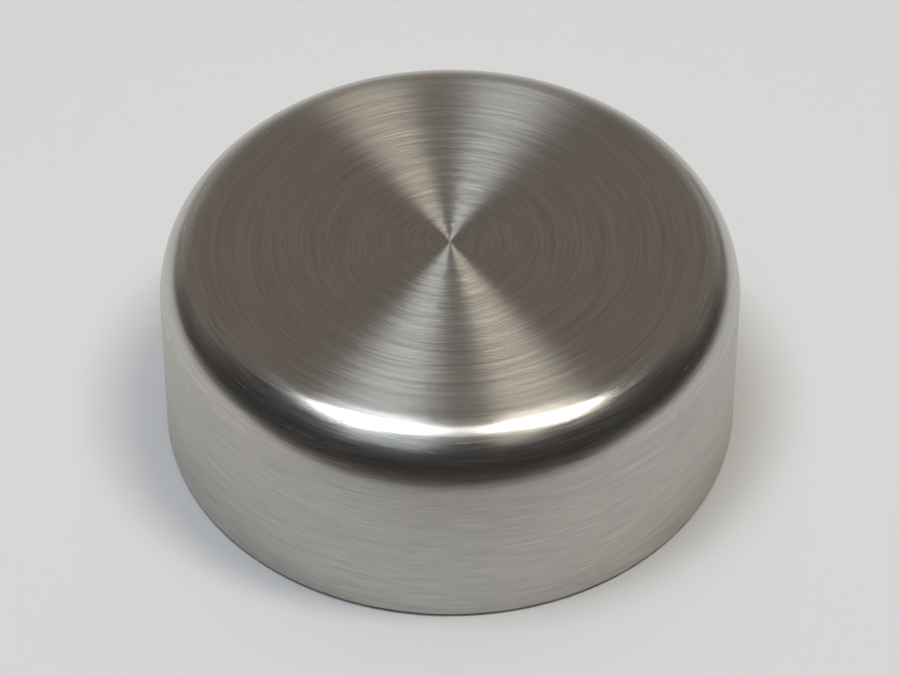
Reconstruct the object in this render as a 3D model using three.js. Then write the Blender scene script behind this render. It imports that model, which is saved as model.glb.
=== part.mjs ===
// Slip-on end cap for a round steel pipe, with its sealing rings and its seat gasket.
// Millimetres, +Z up. The origin is the centre of the rim, so the cap stands on z = 0 with its mouth down.

import * as THREE from "three";

// The pipe that the cap goes over, and how the cap fits round it.
const pipeDiameter = 34;
const slipClearance = 0.2; // between the pipe and the bore, all round
const wallThickness = 2.8; // of the skirt, at the bore

// The cap outside.
const capHeight = 16;
const crownThickness = 3.4; // of the closed end
const edgeRun = 3.6; // how far in from the side the rounded top edge begins
const edgeDrop = 4.4; // how far down the side it ends
const rimEdgeBreak = 0.25; // small bevel on the outer edge of the rim

// The mouth of the bore.
const leadInRun = 0.7; // how much wider the mouth is than the bore, all round
const leadInHeight = 0.9;

// Rubber rings in grooves of the bore: they grip the pipe and seal on it.
const ringCount = 2;
const ringSection = 2;
const ringSqueeze = 0.5; // how much the pipe flattens the rubber
const ringGap = 0.1; // between a free ring and the root of its groove
const grooveSideRoom = 0.35; // beside the ring, each way, where the rubber spreads

// Flat gasket that the end of the pipe butts on. It snaps into an undercut at the bottom of the bore.
const gasketThickness = 1.5;
const gasketGap = 0.1; // round the gasket and behind it
const gasketLead = 0.4; // height of the bevel that lets the gasket snap past the lip
const gasketFaceGap = 0.1; // between the gasket's flat face and the lip, seen along the axis
const undercutDepth = 0.5; // how much wider the undercut is than the bore, all round

// How finely the round shapes are cut into flats.
const turnSegments = 72;
const edgeSteps = 8; // along the rounded top edge
const ringSides = 12; // round a ring's own section

// Sizes worked out from the ones above.
const pipeRadius = pipeDiameter / 2;
const boreRadius = pipeRadius + slipClearance;
const capRadius = boreRadius + wallThickness;
const boreFloor = capHeight - crownThickness;
const undercutRadius = boreRadius + undercutDepth;
const undercutHeight = gasketThickness + 2 * gasketGap;
const undercutMouth = boreFloor - undercutHeight;
const gasketRadius = undercutRadius - gasketGap;
const gasketFaceRadius = boreRadius - gasketFaceGap;
const grooveRadius = pipeRadius + ringSection - ringSqueeze;
const grooveWidth = ringSection + 2 * grooveSideRoom;
// The grooves stand evenly along the straight bore, with equal lands below, between and above them.
const straightBore = undercutMouth - leadInHeight;
const landHeight = (straightBore - ringCount * grooveWidth) / (ringCount + 1);

const stainless = new THREE.MeshStandardMaterial({
  color: 0x8c877f,
  roughness: 0.32,
  metalness: 1,
});
const ringRubber = new THREE.MeshStandardMaterial({
  color: 0x1c1c1d,
  roughness: 0.5,
  metalness: 0,
});
const gasketRubber = new THREE.MeshStandardMaterial({
  color: 0x3a3836,
  roughness: 0.75,
  metalness: 0,
});

// Height of the lower side of a groove, counted from the mouth.
function grooveFoot(index) {
  return leadInHeight + landHeight + index * (grooveWidth + landHeight);
}

// Turns a closed half-section (radius, height) about the Z axis.
function turned(points) {
  const geometry = new THREE.LatheGeometry(points, turnSegments);
  geometry.rotateX(Math.PI / 2);
  return geometry;
}

function named(name, geometry, material) {
  const mesh = new THREE.Mesh(geometry, material);
  mesh.name = name;
  return mesh;
}

// Walks down the bore's wall from the gasket's undercut to the mouth, into each groove and out again.
function traceBore(outline) {
  outline.lineTo(undercutRadius, boreFloor);
  outline.lineTo(undercutRadius, undercutMouth);
  outline.lineTo(boreRadius, undercutMouth);
  for (let index = ringCount - 1; index >= 0; index -= 1) {
    const foot = grooveFoot(index);
    outline.lineTo(boreRadius, foot + grooveWidth);
    outline.lineTo(grooveRadius, foot + grooveWidth);
    outline.lineTo(grooveRadius, foot);
    outline.lineTo(boreRadius, foot);
  }
  outline.lineTo(boreRadius, leadInHeight);
  outline.lineTo(boreRadius + leadInRun, 0);
}

// The turned shell: closed crown, rounded top edge, straight skirt and blind bore.
function makeCapBody() {
  const outline = new THREE.Path();
  outline.moveTo(0, boreFloor);
  traceBore(outline);
  outline.lineTo(capRadius - rimEdgeBreak, 0);
  outline.lineTo(capRadius, rimEdgeBreak);
  outline.lineTo(capRadius, capHeight - edgeDrop);
  outline.absellipse(
    capRadius - edgeRun,
    capHeight - edgeDrop,
    edgeRun,
    edgeDrop,
    0,
    Math.PI / 2,
    false,
    0,
  );
  outline.lineTo(0, capHeight);
  return named("cap_body", turned(outline.getPoints(edgeSteps / 2)), stainless);
}

// One rubber ring, lying free in its groove.
function makeRing(name, index) {
  const ringRadius = grooveRadius - ringGap - ringSection / 2;
  const geometry = new THREE.TorusGeometry(
    ringRadius,
    ringSection / 2,
    ringSides,
    turnSegments,
  );
  const mesh = named(name, geometry, ringRubber);
  mesh.position.z = grooveFoot(index) + grooveWidth / 2;
  return mesh;
}

// The flat gasket, a full disc with bevelled edges so that it snaps in. Both its faces clear the lip.
function makeSeatGasket() {
  const top = boreFloor - gasketGap;
  const bottom = top - gasketThickness;
  const outline = [
    new THREE.Vector2(0, bottom),
    new THREE.Vector2(gasketFaceRadius, bottom),
    new THREE.Vector2(gasketRadius, bottom + gasketLead),
    new THREE.Vector2(gasketRadius, top - gasketLead),
    new THREE.Vector2(gasketFaceRadius, top),
    new THREE.Vector2(0, top),
  ];
  return named("seat_gasket", turned(outline), gasketRubber);
}

const ringNames = ["mouth_o_ring", "inner_o_ring"];

const pipeCap = new THREE.Group();
pipeCap.add(makeCapBody());
for (let index = 0; index < ringCount; index += 1) {
  pipeCap.add(makeRing(ringNames[index], index));
}
pipeCap.add(makeSeatGasket());

export default pipeCap;
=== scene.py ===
"""Looks of a slip-on pipe end cap: a turned steel shell, two rubber rings and a seat gasket.

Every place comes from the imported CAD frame. Lengths are in metres, +Z is up, and the cap stands on z = 0.
"""

import logging
import math
from collections.abc import Callable, Iterable
from dataclasses import dataclass, field
from enum import Enum
from typing import Any, Union

import bpy
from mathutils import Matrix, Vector


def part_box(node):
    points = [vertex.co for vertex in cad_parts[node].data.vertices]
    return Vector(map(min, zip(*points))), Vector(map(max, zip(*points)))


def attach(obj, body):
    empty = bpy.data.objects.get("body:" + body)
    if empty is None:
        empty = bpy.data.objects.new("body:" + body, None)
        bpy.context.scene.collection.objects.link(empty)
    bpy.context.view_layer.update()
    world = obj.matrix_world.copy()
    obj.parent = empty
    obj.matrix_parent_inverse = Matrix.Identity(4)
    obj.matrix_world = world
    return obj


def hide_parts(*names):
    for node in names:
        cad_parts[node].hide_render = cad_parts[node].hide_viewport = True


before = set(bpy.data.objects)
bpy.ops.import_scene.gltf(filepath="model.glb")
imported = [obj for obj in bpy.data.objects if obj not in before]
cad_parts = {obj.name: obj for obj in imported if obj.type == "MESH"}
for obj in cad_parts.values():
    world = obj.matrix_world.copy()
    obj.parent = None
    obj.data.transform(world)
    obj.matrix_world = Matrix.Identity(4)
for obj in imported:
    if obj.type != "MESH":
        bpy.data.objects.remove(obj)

MM = 0.001
FULL_TURN = 2 * math.pi
QUARTER_TURN = math.pi / 2
BODY = "root"
LOG = logging.getLogger("pipe_cap")


class Zone(Enum):
    """The sides of the steel shell that are finished differently."""

    OUTSIDE = "brushed_outside"
    BORE = "machined_bore"


# ---------------------------------------------------------------------------------------------------------
# Shader maths
# ---------------------------------------------------------------------------------------------------------


class Value:
    """A number in a material's node tree. Python's operators on it add the Math nodes."""

    def __init__(self, sheet: "Sheet", socket: bpy.types.NodeSocket) -> None:
        """Wraps a socket.

        Args:
            sheet: The material's sheet that the socket belongs to.
            socket: An output socket that gives a number.
        """
        self.sheet = sheet
        self.socket = socket

    def _maths(self, operation: str, *terms: "Number") -> "Value":
        """Adds one Math node and returns what it gives."""
        node = self.sheet.node("ShaderNodeMath", {"operation": operation}, dict(enumerate(terms)))
        return Value(self.sheet, node.outputs[0])

    def __add__(self, other: "Number") -> "Value":
        """Sum."""
        return self._maths("ADD", self, other)

    def __radd__(self, other: "Number") -> "Value":
        """Sum, with the plain number first."""
        return self._maths("ADD", other, self)

    def __sub__(self, other: "Number") -> "Value":
        """Difference."""
        return self._maths("SUBTRACT", self, other)

    def __mul__(self, other: "Number") -> "Value":
        """Product."""
        return self._maths("MULTIPLY", self, other)

    def __truediv__(self, other: "Number") -> "Value":
        """Quotient."""
        return self._maths("DIVIDE", self, other)

    def root(self) -> "Value":
        """Square root."""
        return self._maths("SQRT", self)

    def at_least(self, floor: "Number") -> "Value":
        """The larger of this and floor."""
        return self._maths("MAXIMUM", self, floor)

    def size(self) -> "Value":
        """The value without its sign."""
        return self._maths("ABSOLUTE", self)

    def ramp(self, low: float, high: float) -> "Value":
        """A smooth step.

        Args:
            low: Where the step gives 0.
            high: Where it gives 1.

        Returns:
            0 below low, 1 above high and a smooth rise between them.
        """
        node = self.sheet.node(
            "ShaderNodeMapRange",
            {"interpolation_type": "SMOOTHSTEP"},
            {"Value": self, "From Min": low, "From Max": high},
        )
        return Value(self.sheet, node.outputs["Result"])


Number = Union[float, Value]
Colour = tuple[float, float, float]


class Sheet:
    """The node tree of one material, with the few calls that draw on it."""

    def __init__(self, tree: bpy.types.NodeTree) -> None:
        """Clears a node tree to draw on.

        Args:
            tree: The tree of a material or of the world.
        """
        self.tree = tree
        tree.nodes.clear()

    def node(
        self,
        kind: str,
        settings: dict[str, Any] | None = None,
        inputs: dict[Any, Any] | None = None,
    ) -> bpy.types.Node:
        """Adds a node.

        Args:
            kind: The node's type.
            settings: Its own properties, set before its sockets.
            inputs: A plain value, a Value or a socket for each input, by name or number.

        Returns:
            The new node.
        """
        made = self.tree.nodes.new(kind)
        for name, setting in (settings or {}).items():
            setattr(made, name, setting)
        for key, given in (inputs or {}).items():
            self.feed(made.inputs[key], given)
        return made

    def feed(self, socket: bpy.types.NodeSocket, given: Any) -> None:
        """Links a socket to a Value or a socket, or sets it to a plain value."""
        source = given.socket if isinstance(given, Value) else given
        if isinstance(source, bpy.types.NodeSocket):
            self.tree.links.new(source, socket)
        elif isinstance(source, tuple) and len(source) == 3 and len(socket.default_value) == 4:
            socket.default_value = (*source, 1.0)
        else:
            socket.default_value = source

    def place(self) -> tuple[Value, Value, Value]:
        """The object's own coordinates, in metres."""
        spot = self.node("ShaderNodeTexCoord").outputs["Object"]
        axes = self.node("ShaderNodeSeparateXYZ", None, {"Vector": spot})
        return tuple(Value(self, axes.outputs[name]) for name in "XYZ")

    def point(self, x: Number, y: Number, z: Number) -> bpy.types.NodeSocket:
        """A vector from three numbers."""
        return self.node("ShaderNodeCombineXYZ", None, {"X": x, "Y": y, "Z": z}).outputs[0]

    def noise(self, where: Any, detail: float = 2.0, rough: float = 0.5) -> Value:
        """Noise about 0.5, with one blotch to a unit.

        Args:
            where: The vector that the noise is read at.
            detail: How many finer layers lie on the first.
            rough: How strong those layers are.

        Returns:
            The noise as a number from 0 to 1.
        """
        node = self.node(
            "ShaderNodeTexNoise",
            {"noise_dimensions": "3D"},
            {"Vector": where, "Scale": 1.0, "Detail": detail, "Roughness": rough},
        )
        return Value(self, node.outputs["Fac"])

    def blend(self, share: Number, first: Any, second: Any) -> bpy.types.NodeSocket:
        """A colour between two others.

        Args:
            share: How much of the second colour is taken, from 0 to 1.
            first: A colour, or a socket that gives one.
            second: A colour, or a socket that gives one.

        Returns:
            The socket of the mixed colour.
        """
        settings = {"data_type": "RGBA", "clamp_factor": True}
        node = self.node("ShaderNodeMix", settings, {0: share, 6: first, 7: second})
        return node.outputs[2]

    def relief(self, height: Value, depth: float) -> bpy.types.NodeSocket:
        """A normal that follows a height.

        Args:
            height: The height, from 0 to 1.
            depth: What a height of 1 is, in metres.

        Returns:
            The socket of the bumped normal.
        """
        inputs = {"Height": height, "Strength": 1.0, "Distance": depth}
        return self.node("ShaderNodeBump", None, inputs).outputs["Normal"]

    def coat(self, inputs: dict[str, Any]) -> bpy.types.NodeSocket:
        """Adds a Principled shader that takes these inputs, and returns its socket."""
        return self.node("ShaderNodeBsdfPrincipled", None, inputs).outputs[0]

    def join(self, share: Number, first: Any, second: Any) -> bpy.types.NodeSocket:
        """A surface between two others.

        Args:
            share: How much of the second surface is taken, from 0 to 1.
            first: The socket of a shader.
            second: The socket of a shader.

        Returns:
            The socket of the mixed shader.
        """
        return self.node("ShaderNodeMixShader", None, {0: share, 1: first, 2: second}).outputs[0]

    def end(self, shader: bpy.types.NodeSocket) -> None:
        """Ends the sheet with a shader."""
        self.node("ShaderNodeOutputMaterial", None, {"Surface": shader})


def new_material(name: str) -> tuple[bpy.types.Material, Sheet]:
    """Makes an empty node material and its sheet."""
    material = bpy.data.materials.new(name)
    material.use_nodes = True
    return material, Sheet(material.node_tree)


# ---------------------------------------------------------------------------------------------------------
# Finishes
# ---------------------------------------------------------------------------------------------------------


@dataclass(frozen=True)
class SteelFinish:
    """Stainless steel with marks that run round the axis, as a lathe or a belt leaves them.

    Attributes:
        colour: The steel's own colour.
        tint: The colour that its clouds lean towards. The clouds are partly the steel's own uneven tone and,
            on the outside, partly a painted reflection of the surroundings.
        spread: How strongly they lean.
        roughness: How dull the steel is.
        grain: How much more the steel spreads light across its lines than along them.
        line_pitch: How far apart the lines lie.
        line_breaks: How often a line ends and another begins, to a radian of turn.
        line_shade: How strongly the lines lighten and darken the steel.
        line_gloss: How much they change its roughness.
        line_depth: How deep they are.
        line_contrast: The most that a line can lighten or darken the steel, as a share of its colour.
        cloud_size: How wide a cloud is.
    """

    colour: Colour
    tint: Colour
    spread: float
    roughness: float
    grain: float
    line_pitch: float
    line_breaks: float
    line_shade: float
    line_gloss: float
    line_depth: float
    line_contrast: float = 0.28
    cloud_size: float = 9 * MM

    def draw(self, sheet: Sheet) -> bpy.types.NodeSocket:
        """Draws the finish on a sheet.

        Args:
            sheet: The sheet of a material.

        Returns:
            The socket of the finish's shader.
        """
        x, y, z = sheet.place()
        radius = (x * x + y * y).root().at_least(0.02 * MM)
        across = (radius - z) / self.line_pitch
        round_x = x / radius * self.line_breaks
        round_y = y / radius * self.line_breaks
        fine = sheet.noise(sheet.point(across, round_x, round_y), detail=3.0, rough=0.65)
        broad = sheet.noise(sheet.point(across * 0.3 + 40.0, round_x * 0.5, round_y * 0.5), detail=2.0)
        lines = (fine - 0.5) * 1.6 + (broad - 0.5) * 0.5
        # Clouds of tint: partly the steel's own uneven tone, and on the outside partly a painted reflection
        # of the uneven surroundings.
        cloud = sheet.noise(sheet.point(x / self.cloud_size, y / self.cloud_size, z / self.cloud_size))
        shade = (0.5 + lines * self.line_shade).at_least(0.0)
        dark = tuple(part * (1 - self.line_contrast) for part in self.colour)
        light = tuple(part * (1 + self.line_contrast) for part in self.colour)
        steel = sheet.blend(shade, dark, light)
        return sheet.coat(
            {
                "Base Color": sheet.blend((cloud - 0.35) * self.spread, steel, self.tint),
                "Metallic": 1.0,
                "Roughness": (self.roughness + lines * self.line_gloss).at_least(0.05),
                "Anisotropic": self.grain,
                "Anisotropic Rotation": 0.25,
                "Normal": sheet.relief(fine, self.line_depth),
            }
        )


@dataclass(frozen=True)
class OutsideFinish:
    """The shell's outside: a turned crown, a polished edge and a brushed skirt, each run into the next.

    Attributes:
        crown: The flat top's finish.
        edge: The rounded edge's finish.
        skirt: The straight side's finish.
        crown_fade: The radii between which the crown's finish gives way to the edge's.
        skirt_fade: The heights between which the skirt's finish gives way to the edge's.
    """

    crown: SteelFinish
    edge: SteelFinish
    skirt: SteelFinish
    crown_fade: tuple[float, float]
    skirt_fade: tuple[float, float]

    def draw(self, sheet: Sheet) -> bpy.types.NodeSocket:
        """Draws the three finishes and mixes them by where a spot lies.

        Args:
            sheet: The sheet of a material.

        Returns:
            The socket of the mixed shader.
        """
        x, y, z = sheet.place()
        off_crown = (x * x + y * y).root().ramp(*self.crown_fade)
        off_skirt = z.ramp(*self.skirt_fade)
        upper = sheet.join(off_crown, self.crown.draw(sheet), self.edge.draw(sheet))
        return sheet.join(off_skirt, self.skirt.draw(sheet), upper)


@dataclass(frozen=True)
class RubberFinish:
    """Rubber, smooth from the mould or matt from the sheet.

    Attributes:
        name: The material's name.
        colour: The rubber's own colour.
        dusty: Its colour where dust clings to it.
        roughness: How dull it is.
        sheen: How much of a soft sheen it has.
        grain_size: How wide the rubber's fine grain is.
        grain_depth: How deep that grain is.
        patch_size: How wide the dusty patches are.
    """

    name: str
    colour: Colour
    dusty: Colour
    roughness: float
    sheen: float
    grain_size: float
    grain_depth: float
    patch_size: float = 6 * MM

    def make(self) -> bpy.types.Material:
        """Draws the finish.

        Returns:
            The material.
        """
        material, sheet = new_material(self.name)
        x, y, z = sheet.place()
        grain = sheet.noise(
            sheet.point(x / self.grain_size, y / self.grain_size, z / self.grain_size),
            detail=3.0,
            rough=0.6,
        )
        patch = sheet.noise(sheet.point(x / self.patch_size, y / self.patch_size, z / self.patch_size))
        rubber = sheet.coat(
            {
                "Base Color": sheet.blend((patch - 0.45) * 2.0 * grain, self.colour, self.dusty),
                "Metallic": 0.0,
                "Roughness": self.roughness + (patch - 0.5) * 0.2,
                "Sheen Weight": self.sheen,
                "Sheen Roughness": 0.5,
                "Normal": sheet.relief(grain, self.grain_depth),
            }
        )
        sheet.end(rubber)
        return material


STEEL = (0.56, 0.543, 0.515)
# The outside's clouds, brownest on the crown, are partly a painted reflection of the brownish, uneven
# surroundings.
CROWN_FINISH = SteelFinish(
    STEEL, (0.575, 0.53, 0.475), 0.6, roughness=0.255, grain=1.0,
    line_pitch=0.13 * MM, line_breaks=2.5, line_shade=0.85, line_gloss=0.04, line_depth=0.7e-6,
)
EDGE_FINISH = SteelFinish(
    STEEL, (0.54, 0.515, 0.48), 0.2, roughness=0.24, grain=0.5,
    line_pitch=0.13 * MM, line_breaks=5.0, line_shade=1.1, line_gloss=0.10, line_depth=1.2e-6,
)
SKIRT_FINISH = SteelFinish(
    (0.57, 0.550, 0.510), (0.57, 0.54, 0.49), 0.5, roughness=0.35, grain=0.85,
    line_pitch=0.11 * MM, line_breaks=6.0, line_shade=1.1, line_gloss=0.08, line_depth=1.6e-6,
)
BORE_FINISH = SteelFinish(
    STEEL, (0.50, 0.48, 0.45), 0.2, roughness=0.33, grain=0.7,
    line_pitch=0.16 * MM, line_breaks=1.5, line_shade=0.5, line_gloss=0.05, line_depth=2.0e-6,
)
FINISHES = {
    Zone.OUTSIDE: OutsideFinish(
        CROWN_FINISH, EDGE_FINISH, SKIRT_FINISH, (16.4 * MM, 17.9 * MM), (11.4 * MM, 13.4 * MM)
    ),
    Zone.BORE: BORE_FINISH,
}
RING_FINISH = RubberFinish(
    "nitrile_ring_rubber", (0.018, 0.018, 0.019), (0.05, 0.05, 0.052), 0.42, 0.1, 0.12 * MM, 1.5e-6
)
GASKET_FINISH = RubberFinish(
    "matt_sheet_rubber", (0.04, 0.038, 0.036), (0.085, 0.082, 0.078), 0.72, 0.25, 0.2 * MM, 8e-6
)


# ---------------------------------------------------------------------------------------------------------
# Turning
# ---------------------------------------------------------------------------------------------------------


@dataclass
class Outline:
    """A half-section in the XZ plane, drawn point by point as (radius, height)."""

    points: list[tuple[float, float]] = field(default_factory=list)

    def to(self, radius: float, height: float) -> "Outline":
        """Draws a straight line, or starts the outline."""
        self.points.append((radius, height))
        return self

    def bow(
        self,
        centre: tuple[float, float],
        reach: tuple[float, float],
        start: float,
        end: float,
        steps: int,
    ) -> "Outline":
        """Draws a stretch of an ellipse.

        Args:
            centre: The ellipse's centre, as (radius, height).
            reach: Its half-widths across and up.
            start: The angle that it starts at, counted from outwards towards up.
            end: The angle that it ends at.
            steps: How many straight steps stand for it.

        Returns:
            The outline itself.
        """
        for step in range(steps + 1):
            angle = start + (end - start) * step / steps
            self.to(centre[0] + reach[0] * math.cos(angle), centre[1] + reach[1] * math.sin(angle))
        return self


@dataclass(frozen=True)
class Lathe:
    """Turns an outline into a closed piece."""

    steps: int = 288
    weld: float = 1e-7

    def turn(self, name: str, outline: Outline) -> bpy.types.Object:
        """Turns an outline about the Z axis.

        Args:
            name: The piece's name.
            outline: A half-section that starts and ends on the axis, or that ends where it starts.

        Returns:
            The turned piece, with its place in its mesh.
        """
        bpy.ops.object.select_all(action="DESELECT")
        bpy.ops.mesh.primitive_plane_add(size=1.0, location=(0, 0, 0))
        piece = bpy.context.object
        piece.name = piece.data.name = name
        bpy.ops.object.mode_set(mode="EDIT")
        bpy.ops.mesh.select_all(action="SELECT")
        bpy.ops.mesh.merge(type="CENTER")
        radius, height = outline.points[0]
        bpy.ops.transform.translate(value=(radius, 0, height))
        for next_radius, next_height in outline.points[1:]:
            step = (next_radius - radius, 0, next_height - height)
            bpy.ops.mesh.extrude_region_move(TRANSFORM_OT_translate={"value": step})
            radius, height = next_radius, next_height
        bpy.ops.mesh.select_all(action="SELECT")
        bpy.ops.mesh.remove_doubles(threshold=self.weld)
        bpy.ops.mesh.select_all(action="SELECT")
        bpy.ops.mesh.spin(steps=self.steps, angle=FULL_TURN, center=(0, 0, 0), axis=(0, 0, 1))
        bpy.ops.mesh.select_all(action="SELECT")
        bpy.ops.mesh.remove_doubles(threshold=self.weld)
        bpy.ops.mesh.normals_make_consistent(inside=False)
        bpy.ops.object.mode_set(mode="OBJECT")
        return piece


def ease_corners(piece: bpy.types.Object, width: float, corner: float = 30.0, segments: int = 3) -> None:
    """Rounds a piece's sharp corners a little.

    Args:
        piece: The piece.
        width: How far each corner is cut back.
        corner: The least turn between two faces that counts as a corner, in degrees.
        segments: How many steps the rounding has.
    """
    bpy.ops.object.select_all(action="DESELECT")
    piece.select_set(True)
    bpy.context.view_layer.objects.active = piece
    easing = piece.modifiers.new("eased_corners", "BEVEL")
    easing.width = width
    easing.segments = segments
    easing.limit_method = "ANGLE"
    easing.angle_limit = math.radians(corner)
    easing.use_clamp_overlap = True
    bpy.ops.object.modifier_apply(modifier=easing.name)
    bpy.ops.object.shade_smooth_by_angle(angle=math.radians(corner))


def paint(
    piece: bpy.types.Object,
    coats: list[bpy.types.Material],
    choose: Callable[[Vector, Vector], int],
) -> None:
    """Gives each face of a piece one of its materials.

    Args:
        piece: The piece.
        coats: Its materials.
        choose: Takes a face's centre and normal and gives the number of its material.
    """
    piece.data.materials.clear()
    for coat in coats:
        piece.data.materials.append(coat)
    for face in piece.data.polygons:
        face.material_index = choose(face.center, face.normal)


# ---------------------------------------------------------------------------------------------------------
# The pieces
# ---------------------------------------------------------------------------------------------------------


@dataclass
class Piece:
    """One separate piece of the cap, which stands for one CAD node."""

    node: str
    name: str
    slot: str
    lathe: Lathe = Lathe()
    low: Vector = field(init=False)
    high: Vector = field(init=False)

    def __post_init__(self) -> None:
        """Reads the CAD node's lowest and highest corners, once."""
        self.low, self.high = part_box(self.node)

    def outline(self) -> Outline:
        """The piece's half-section."""
        raise NotImplementedError

    def dress(self, piece: bpy.types.Object) -> None:
        """Puts the piece's finish on it."""
        raise NotImplementedError

    def build(self) -> bpy.types.Object:
        """Makes the piece and puts it in its node's place.

        Returns:
            The finished piece.
        """
        piece = self.lathe.turn(self.name, self.outline())
        self.dress(piece)
        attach(piece, BODY)
        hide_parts(self.node)
        LOG.info("%s: %d faces, stands for %s", piece.name, len(piece.data.polygons), self.node)
        return piece


@dataclass
class Shell(Piece):
    """The turned steel shell: crown, rounded edge, skirt, rim and grooved bore."""

    edge_run: float = 3.6 * MM
    edge_drop: float = 4.4 * MM
    edge_steps: int = 36
    rim_break: float = 0.25 * MM
    crown_thickness: float = 3.4 * MM
    bore_radius: float = 17.2 * MM
    lead_in_run: float = 0.7 * MM
    lead_in_height: float = 0.9 * MM
    groove_radius: float = 18.5 * MM
    groove_width: float = 2.7 * MM
    undercut_radius: float = 17.7 * MM
    undercut_height: float = 1.7 * MM
    corner_easing: float = 0.05 * MM
    pip_radius: float = 0.12 * MM
    pip_depth: float = 0.03 * MM
    ring_nodes: tuple[str, ...] = ("inner_o_ring", "mouth_o_ring")

    @property
    def side(self) -> float:
        """The skirt's outside radius."""
        return self.high.x

    @property
    def top(self) -> float:
        """The crown's height."""
        return self.high.z

    @property
    def crown_radius(self) -> float:
        """Where the flat crown ends and the rounded edge begins."""
        return self.side - self.edge_run

    def outline(self) -> Outline:
        """The shell's half-section, from the bore's floor, round the rim, to the middle of the crown."""
        floor = self.top - self.crown_thickness
        undercut_mouth = floor - self.undercut_height
        line = Outline().to(0, floor)
        line.to(self.undercut_radius, floor).to(self.undercut_radius, undercut_mouth)
        line.to(self.bore_radius, undercut_mouth)
        for node in self.ring_nodes:
            low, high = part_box(node)
            middle = (low.z + high.z) / 2
            upper, lower = middle + self.groove_width / 2, middle - self.groove_width / 2
            line.to(self.bore_radius, upper).to(self.groove_radius, upper)
            line.to(self.groove_radius, lower).to(self.bore_radius, lower)
        line.to(self.bore_radius, self.lead_in_height)
        line.to(self.bore_radius + self.lead_in_run, 0)
        line.to(self.side - self.rim_break, 0).to(self.side, self.rim_break)
        self.trace_edge(line)
        self.trace_crown(line)
        return line

    def trace_edge(self, line: Outline) -> None:
        """Draws the rounded top edge, from the skirt up to the flat."""
        centre = (self.crown_radius, self.top - self.edge_drop)
        line.bow(centre, (self.edge_run, self.edge_drop), 0, QUARTER_TURN, self.edge_steps)

    def trace_crown(self, line: Outline) -> None:
        """Draws the flat crown inwards, down to the small pip that facing leaves in the middle."""
        line.to(self.crown_radius - 0.03 * MM, self.top)
        for share in (0.98, 0.85, 0.7, 0.55, 0.4, 0.25, 0.12, 0.05):
            line.to(self.crown_radius * share, self.top)
        line.to(self.pip_radius * 1.6, self.top)
        line.to(self.pip_radius, self.top - self.pip_depth * 0.3)
        line.to(self.pip_radius * 0.5, self.top - self.pip_depth)
        line.to(0, self.top - self.pip_depth)

    def zone(self, centre: Vector, normal: Vector) -> int:
        """Which of the shell's finishes a face takes."""
        on_top = centre.z > self.top - self.edge_drop and normal.z > 0
        outward = normal.x * centre.x + normal.y * centre.y
        on_side = outward > 0 and math.hypot(centre.x, centre.y) > self.side - self.rim_break * 1.5
        return list(Zone).index(Zone.OUTSIDE if on_top or on_side else Zone.BORE)

    def dress(self, piece: bpy.types.Object) -> None:
        """Eases the shell's corners and gives each zone its own finish."""
        ease_corners(piece, self.corner_easing)
        coats = []
        for zone in Zone:
            material, sheet = new_material(zone.value)
            sheet.end(FINISHES[zone].draw(sheet))
            coats.append(material)
        paint(piece, coats, self.zone)


@dataclass
class SealRing(Piece):
    """A moulded rubber ring, with the fine flash that the mould's joint leaves on it."""

    sides: int = 40
    flash_height: float = 0.04 * MM
    flash_width: float = 0.12 * MM

    def outline(self) -> Outline:
        """The ring's own section, with a nib of flash inside and outside."""
        section = (self.high.z - self.low.z) / 2
        middle = (self.high.x - section, (self.high.z + self.low.z) / 2)
        line = Outline()
        lean = math.asin(self.flash_width / 2 / section)
        for turn in (0.0, math.pi):
            outward = math.cos(turn)
            line.to(middle[0] + outward * (section + self.flash_height), middle[1])
            line.bow(middle, (section, section), turn + lean, turn + math.pi - lean, self.sides // 2)
        line.to(*line.points[0])
        return line

    def dress(self, piece: bpy.types.Object) -> None:
        """Smooths the ring and gives it its rubber."""
        bpy.ops.object.shade_smooth_by_angle(angle=math.radians(40))
        paint(piece, [RING_FINISH.make()], lambda centre, normal: 0)


@dataclass
class SeatGasket(Piece):
    """The flat gasket, punched from rubber sheet, that the pipe's end butts on."""

    bevel_run: float = 0.5 * MM
    bevel_rise: float = 0.4 * MM
    punch_hollow: float = 0.05 * MM

    def outline(self) -> Outline:
        """The half-section: bevelled so that the gasket snaps in, its side a little hollow from the punch."""
        side, top, bottom = self.high.x, self.high.z, self.low.z
        face = side - self.bevel_run
        line = Outline().to(0, bottom)
        for share in (0.3, 0.6, 0.9):
            line.to(face * share, bottom)
        line.to(face, bottom).to(side, bottom + self.bevel_rise)
        line.to(side - self.punch_hollow, (top + bottom) / 2)
        line.to(side, top - self.bevel_rise).to(face, top)
        for share in (0.9, 0.6, 0.3):
            line.to(face * share, top)
        return line.to(0, top)

    def dress(self, piece: bpy.types.Object) -> None:
        """Rounds the gasket's corners and gives it its rubber."""
        ease_corners(piece, 0.08 * MM, corner=25.0, segments=4)
        paint(piece, [GASKET_FINISH.make()], lambda centre, normal: 0)


# ---------------------------------------------------------------------------------------------------------
# Studio
# ---------------------------------------------------------------------------------------------------------


@dataclass(frozen=True)
class Lamp:
    """A rectangular studio light.

    Attributes:
        name: The light's name.
        place: Where its centre is.
        size: How wide and how deep it is.
        power: Its power in watts.
        colour: Its colour.
        mirrored: Whether reflections show it.
    """

    name: str
    place: tuple[float, float, float]
    size: tuple[float, float]
    power: float
    colour: Colour = (1.0, 1.0, 1.0)
    mirrored: bool = True

    def hang(self, aim: Vector) -> None:
        """Hangs the light so that it faces a point."""
        light = bpy.data.lights.new(self.name, "AREA")
        light.shape = "RECTANGLE"
        light.size, light.size_y = self.size
        light.energy = self.power
        light.color = self.colour
        stand = bpy.data.objects.new(self.name, light)
        stand.location = self.place
        stand.visible_glossy = self.mirrored
        stand.rotation_euler = (aim - Vector(self.place)).to_track_quat("-Z", "Y").to_euler()
        bpy.context.scene.collection.objects.link(stand)


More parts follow.
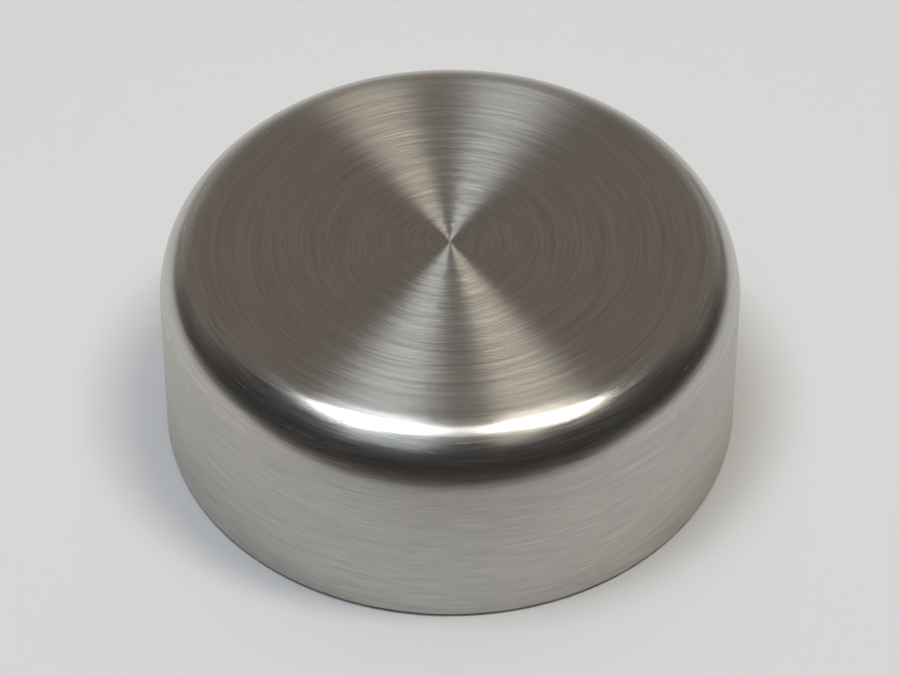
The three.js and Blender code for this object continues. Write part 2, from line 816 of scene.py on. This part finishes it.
@dataclass
class Studio:
    """Floor, a card that paints what the steel reflects, surroundings, lights and camera.

    Attributes:
        diameter: The cap's diameter.
        height: The cap's height.
        camera_back: How far in front of the cap's axis the camera is, in cap diameters.
        camera_up: How far above the floor it is, in cap diameters.
        camera_tilt: How far it looks down, in degrees.
        lens: Its focal length in millimetres.
        floor_size: The floor's side in metres.
        floor_colour: The floor's colour, and the card's near the cap.
        front_dark: The room in front of the cap and above.
        back_tone: The room behind it.
        back_low: The room behind it, close to the floor.
        side_low: The room beside it, close to the floor.
        card_dark: The card's colour in front and far aside, a painted dark reflection.
        card_front_fade: Where the card darkens in front, in cap diameters.
        card_side_fade: Where it darkens to the sides, in cap diameters.
        card_shift: How far left of the axis the middle of its pale stretch is, in cap diameters.
        card_gap: How far above the floor it lies.
    """

    diameter: float
    height: float
    camera_back: float = 5.533
    camera_up: float = 5.739
    camera_tilt: float = 45.2
    lens: float = 180.0
    floor_size: float = 4.0
    floor_colour: Colour = (0.71, 0.703, 0.715)
    front_dark: Colour = (0.045, 0.042, 0.042)
    back_tone: Colour = (0.205, 0.182, 0.160)
    back_low: Colour = (0.46, 0.435, 0.40)
    side_low: Colour = (0.03, 0.029, 0.029)
    card_dark: Colour = (0.07, 0.058, 0.045)
    card_front_fade: tuple[float, float] = (0.72, 1.42)
    card_side_fade: tuple[float, float] = (1.8, 2.95)
    card_shift: float = 0.32
    card_gap: float = 0.2 * MM

    def lay_floor(self) -> None:
        """Lays a plain pale floor under the cap."""
        bpy.ops.object.select_all(action="DESELECT")
        bpy.ops.mesh.primitive_plane_add(size=self.floor_size, location=(0, 0, 0))
        floor = bpy.context.object
        floor.name = "floor"
        material, sheet = new_material("pale_floor")
        pale = {"Base Color": self.floor_colour, "Roughness": 0.9, "Specular IOR Level": 0.2}
        sheet.end(sheet.coat(pale))
        floor.data.materials.append(material)

    def lay_card(self) -> None:
        """Lays a card that only reflections show, a painted reflection: the floor's colour by the cap, dark
        in front and far aside.
        """
        bpy.ops.object.select_all(action="DESELECT")
        bpy.ops.mesh.primitive_plane_add(size=self.floor_size, location=(0, 0, 0))
        card = bpy.context.object
        card.name = "reflection_only_card"
        for corner in card.data.vertices:
            corner.co.z = self.card_gap
        material, sheet = new_material("painted_reflection_card")
        x, y, z = sheet.place()
        ahead = (y * -1.0).ramp(*(self.diameter * reach for reach in self.card_front_fade))
        off_middle = (x + self.diameter * self.card_shift).size()
        aside = off_middle.ramp(*(self.diameter * reach for reach in self.card_side_fade))
        # Painted reflection: the card goes from the floor's colour by the cap to dark in front and far aside,
        # and only the steel's reflections see it.
        shade = sheet.blend(ahead.at_least(aside), self.floor_colour, self.card_dark)
        sheet.end(sheet.coat({"Base Color": shade, "Roughness": 0.9, "Specular IOR Level": 0.0}))
        card.data.materials.append(material)
        card.visible_camera = False
        card.visible_diffuse = False
        card.visible_shadow = False

    def surround(self) -> None:
        """Makes the room: dark in front, aside and overhead, a soft mid tone behind, paler low down."""
        world = bpy.data.worlds.new("room")
        bpy.context.scene.world = world
        world.use_nodes = True
        sheet = Sheet(world.node_tree)
        way = sheet.node("ShaderNodeTexCoord").outputs["Generated"]
        axes = sheet.node("ShaderNodeSeparateXYZ", None, {"Vector": way})
        back = Value(sheet, axes.outputs["Y"])
        low = sheet.blend(back.ramp(0.35, 0.9), self.side_low, self.back_low)
        high = sheet.blend(back.ramp(0.0, 0.4), self.front_dark, self.back_tone)
        tone = sheet.blend(Value(sheet, axes.outputs["Z"]).ramp(0.0, 0.45), low, high)
        glow = sheet.node("ShaderNodeBackground", None, {"Color": tone, "Strength": 1.0})
        sheet.node("ShaderNodeOutputWorld", None, {"Surface": glow.outputs[0]})

    def light(self) -> None:
        """Hangs a cool light above the cap to the left and a warm one to the right, with fainter ones.

        The last light fills the shadows on the floor, and no reflection shows it.
        """
        aim = Vector((0, 0, self.height))
        Lamp("cool_light", (-0.248, -0.05, 1.0), (0.325, 0.36), 3.5, (0.87, 0.945, 1.0)).hang(aim)
        Lamp("cool_strip", (-0.18, -0.05, 0.99), (0.04, 0.36), 0.45, (0.87, 0.945, 1.0)).hang(aim)
        Lamp("cool_glow", (-0.30, -0.55, 0.80), (0.46, 0.40), 0.38, (0.87, 0.945, 1.0)).hang(aim)
        Lamp("warm_light", (0.323, -0.05, 1.0), (0.195, 0.36), 3.8, (1.0, 0.97, 0.86)).hang(aim)
        Lamp("warm_glow", (0.30, -0.50, 0.83), (0.24, 0.30), 0.12, (1.0, 0.97, 0.86)).hang(aim)
        Lamp("soft_light", (0.07, -0.12, 1.0), (0.26, 0.30), 0.15).hang(aim)
        Lamp("floor_fill", (0.0, 0.15, 1.4), (1.6, 1.6), 4.5, mirrored=False).hang(aim)

    def aim_camera(self) -> None:
        """Sets up the camera: a long lens, looking down at the cap from the front."""
        lens = bpy.data.cameras.new("camera")
        lens.lens = self.lens
        lens.sensor_width = 36.0
        lens.clip_start = 0.01
        lens.clip_end = 50.0
        camera = bpy.data.objects.new("camera", lens)
        camera.location = (0, -self.camera_back * self.diameter, self.camera_up * self.diameter)
        camera.rotation_euler = (math.radians(90 - self.camera_tilt), 0, 0)
        bpy.context.scene.collection.objects.link(camera)
        bpy.context.scene.camera = camera

    def set_up(self) -> None:
        """Sets the whole studio up."""
        self.lay_floor()
        self.lay_card()
        self.surround()
        self.light()
        self.aim_camera()
        bpy.context.scene.view_settings.view_transform = "Standard"


def main() -> None:
    """Builds the studio and the pieces."""
    logging.basicConfig(level=logging.INFO, format="%(name)s: %(message)s")
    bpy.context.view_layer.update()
    shell_low, shell_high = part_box("cap_body")
    Studio(diameter=shell_high.x - shell_low.x, height=shell_high.z).set_up()
    for piece in (
        Shell("cap_body", "steel_shell", "stainless"),
        SealRing("mouth_o_ring", "mouth_seal_ring", "ring_rubber"),
        SealRing("inner_o_ring", "inner_seal_ring", "ring_rubber"),
        SeatGasket("seat_gasket", "rubber_seat_gasket", "gasket_rubber"),
    ):
        piece.build()


if __name__ == "__main__":
    main()
